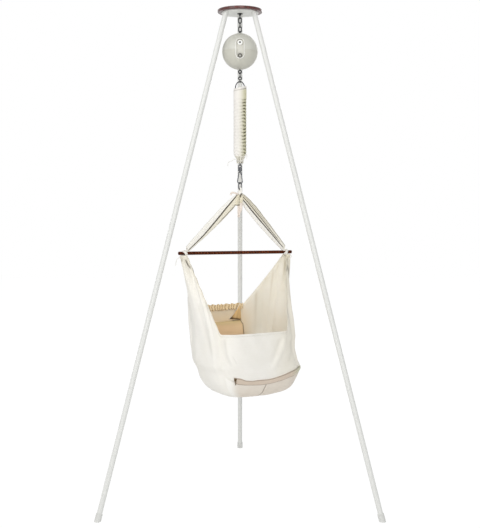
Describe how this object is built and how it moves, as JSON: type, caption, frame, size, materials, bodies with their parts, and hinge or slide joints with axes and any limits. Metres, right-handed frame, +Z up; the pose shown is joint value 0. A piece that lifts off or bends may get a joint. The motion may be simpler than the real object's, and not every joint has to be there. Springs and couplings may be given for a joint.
{
  "type": "hammock cradle",
  "caption": "Baby hammock cradle of cotton cloth on a wooden spreader bar, hung from a covered coil spring and a round rocking motor in a tripod stand.",
  "frame": {"origin": "middle of the stand's footprint box, on the floor", "axes": "+Z up; -Y is the open front side, from which the cradle, the control panel and the zip are seen; +X to the right as seen from there"},
  "size_m": [1.1848, 1.0296, 2.1],
  "materials": {
    "dark_wood": "satin",
    "white_steel": "satin",
    "pale_grey_tube": "satin",
    "grey_rubber": "matte",
    "steel": "satin",
    "polished_steel": "polished",
    "ball_plastic": "matte",
    "panel_plastic": "matte",
    "white_plastic": "gloss",
    "nylon": "matte",
    "black_plastic": "gloss",
    "black_webbing": "matte",
    "green_board": "matte",
    "cream_cotton": "matte",
    "beige_cotton": "matte",
    "white_cord": "matte"
  },
  "bodies": {
    "stand": {"top_disc": "dark_wood", "top_plate": "white_steel", "leg_left": "pale_grey_tube", "leg_right": "pale_grey_tube", "leg_rear": "pale_grey_tube", "leg_plugs": "steel", "leg_screws": "steel", "foot_left": "grey_rubber", "foot_right": "grey_rubber", "foot_rear": "grey_rubber", "eye_bolt": "steel", "eye_nut": "steel"},
    "upper_link": {"chain_link_1": "steel"},
    "middle_link": {"chain_link_2": "steel"},
    "lower_link": {"chain_link_3": "steel"},
    "motor": {"shell_upper": "ball_plastic", "shell_lower": "ball_plastic", "control_panel": "panel_plastic", "hanger_eye": "steel", "hanger_nut": "steel", "chassis": "steel", "drive_motor": "steel", "gearbox": "steel", "hook_guide": "nylon", "circuit_board": "green_board", "dc_inlet": "black_plastic", "shell_screws": "steel"},
    "button": {"power_button": "white_plastic", "power_lens": "black_plastic"},
    "dial": {"speed_dial": "panel_plastic"},
    "drum": {"winch_drum": "nylon"},
    "hook": {"pull_hook": "steel", "pull_belt": "black_webbing"},
    "hook_link": {"chain_link_4": "steel"},
    "spring_top": {"spring_top_hook": "steel", "spring": "steel", "spring_cover": "cream_cotton"},
    "spring_foot": {"spring_bottom_hook": "steel", "cover_cord_left": "white_cord", "cover_cord_right": "white_cord"},
    "swivel": {"swivel_eye": "polished_steel"},
    "snap": {"carabiner": "polished_steel", "gate_pin": "polished_steel"},
    "gate": {"carabiner_gate": "polished_steel"},
    "oval": {"oval_link": "polished_steel"},
    "hammock": {"strap_knot": "cream_cotton", "strap_left": "cream_cotton", "strap_right": "cream_cotton", "spreader_bar": "dark_wood", "bar_tie_left": "white_cord", "bar_tie_right": "white_cord", "tie_tail_left": "white_cord", "tie_tail_right": "white_cord", "cradle_cloth": "cream_cotton", "rear_frill": "cream_cotton", "mattress": "cream_cotton", "bottom_panel": "beige_cotton", "zip_tape": "cream_cotton"},
    "zip": {"zip_slider": "polished_steel"}
  },
  "joints": [
    {"name": "upper_link_swing", "type": "hinge", "parent": "stand", "child": "upper_link", "pos_m": [0, -0.167, 2.063], "axis": [0, 1, 0], "range_deg": [-6, 6]},
    {"name": "middle_link_swing", "type": "hinge", "parent": "upper_link", "child": "middle_link", "pos_m": [0, -0.167, 2.0448], "axis": [1, 0, 0], "range_deg": [-6, 6]},
    {"name": "lower_link_swing", "type": "hinge", "parent": "middle_link", "child": "lower_link", "pos_m": [0, -0.167, 2.0261], "axis": [0, -1, 0], "range_deg": [-6, 6]},
    {"name": "motor_swing", "type": "hinge", "parent": "lower_link", "child": "motor", "pos_m": [0, -0.167, 2.0074], "axis": [-1, 0, 0], "range_deg": [-6, 6]},
    {"name": "button_press", "type": "slide", "parent": "motor", "child": "button", "axis": [0, 0.9348, -0.3551], "range_m": [0, 0.0012], "stiffness_N_per_m": 700, "springref_m": -0.001},
    {"name": "dial_turn", "type": "hinge", "parent": "motor", "child": "dial", "pos_m": [0, -0.23252, 1.90232], "axis": [0, -0.9361, -0.3518], "range_deg": [-135, 135]},
    {"name": "drum_turn", "type": "hinge", "parent": "motor", "child": "drum", "pos_m": [-0.0156, -0.167, 1.92895], "axis": [0, 1, 0], "range_deg": [0, 132.3]},
    {"name": "hook_stroke", "type": "slide", "parent": "motor", "child": "hook", "axis": [0, 0, 1], "range_m": [-0.036, 0]},
    {"name": "hook_link_swing", "type": "hinge", "parent": "hook", "child": "hook_link", "pos_m": [0, -0.167, 1.83545], "axis": [1, 0, 0], "range_deg": [-6, 6]},
    {"name": "spring_swing", "type": "hinge", "parent": "hook_link", "child": "spring_top", "pos_m": [0, -0.167, 1.817], "axis": [0, 1, 0], "range_deg": [-6, 6]},
    {"name": "spring_stretch", "type": "slide", "parent": "spring_top", "child": "spring_foot", "axis": [0, 0, 1], "range_m": [-0.1, 0], "stiffness_N_per_m": 950, "springref_m": 0.07, "deforming": ["spring", "spring_cover"]},
    {"name": "swivel_swing", "type": "hinge", "parent": "spring_foot", "child": "swivel", "pos_m": [0, -0.167, 1.4438], "axis": [0, -1, 0], "range_deg": [-6, 6]},
    {"name": "swivel_turn", "type": "hinge", "parent": "swivel", "child": "snap", "pos_m": [0, -0.167, 1.4366], "axis": [0, 0, 1], "continuous": true},
    {"name": "gate_open", "type": "hinge", "parent": "snap", "child": "gate", "pos_m": [0.00571, -0.16853, 1.40966], "axis": [0.2588, 0.9659, 0], "range_deg": [0, 22], "stiffness_Nm_per_rad": 0.03, "springref_deg": -17.19},
    {"name": "oval_swing", "type": "hinge", "parent": "snap", "child": "oval", "pos_m": [0, -0.167, 1.368], "axis": [0.9659, -0.2588, 0], "range_deg": [-6, 6]},
    {"name": "cradle_swing", "type": "hinge", "parent": "oval", "child": "hammock", "pos_m": [0, -0.167, 1.34275], "axis": [-0.7431, -0.6691, 0], "range_deg": [-6, 6]},
    {"name": "zip_run", "type": "slide", "parent": "hammock", "child": "zip", "axis": [0.8236, 0.3634, -0.4354], "range_m": [0, 0.02]}
  ],
  "couplings": [
    {"joint": "drum_turn", "follows": "hook_stroke", "rad_per_m": -64.103}
  ]
}
